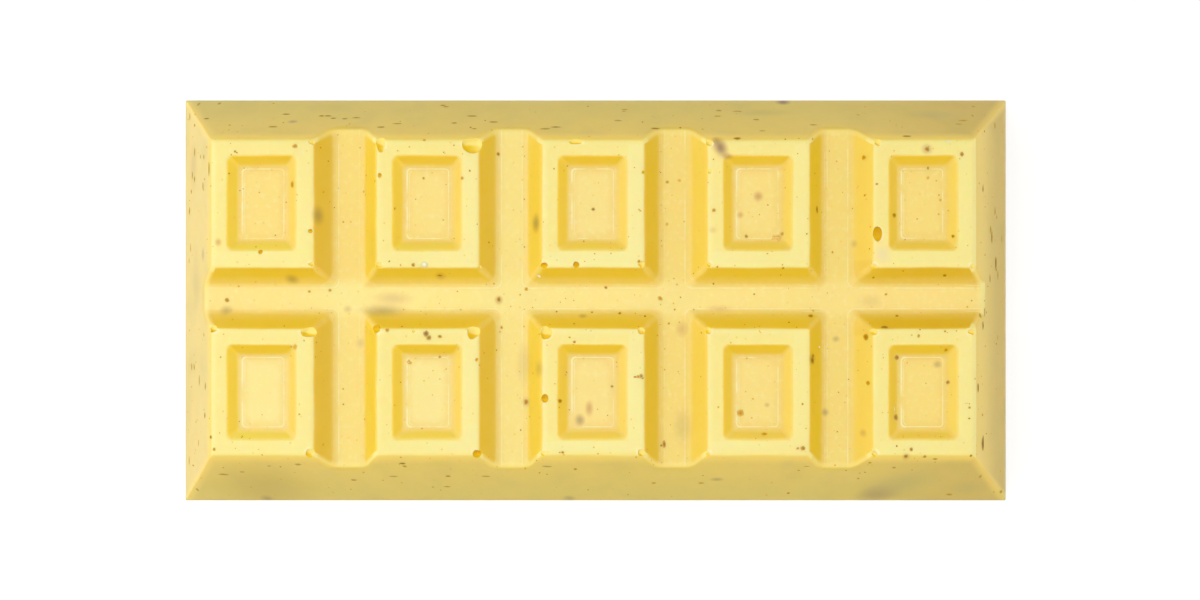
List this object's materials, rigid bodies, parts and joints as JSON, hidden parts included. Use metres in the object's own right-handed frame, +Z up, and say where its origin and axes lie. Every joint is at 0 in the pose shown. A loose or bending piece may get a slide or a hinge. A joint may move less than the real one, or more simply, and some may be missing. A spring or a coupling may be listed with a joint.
{
  "type": "chocolate bar",
  "caption": "Moulded pale yellow white chocolate bar with sloped sides, crossing break grooves and a shallow dish in the top of each block, lying on its flat side.",
  "frame": {"origin": "on the surface the bar lies on, under the middle of its footprint", "axes": "X along the bar's long side, Y across its two rows of blocks, Z up out of the moulded face"},
  "size_m": [0.15, 0.0732, 0.01],
  "materials": {
    "chocolate": "soft satin pale yellow white chocolate, slightly translucent, with fine brown specks"
  },
  "bodies": {
    "root": {"bar": "chocolate"}
  },
  "joints": []
}
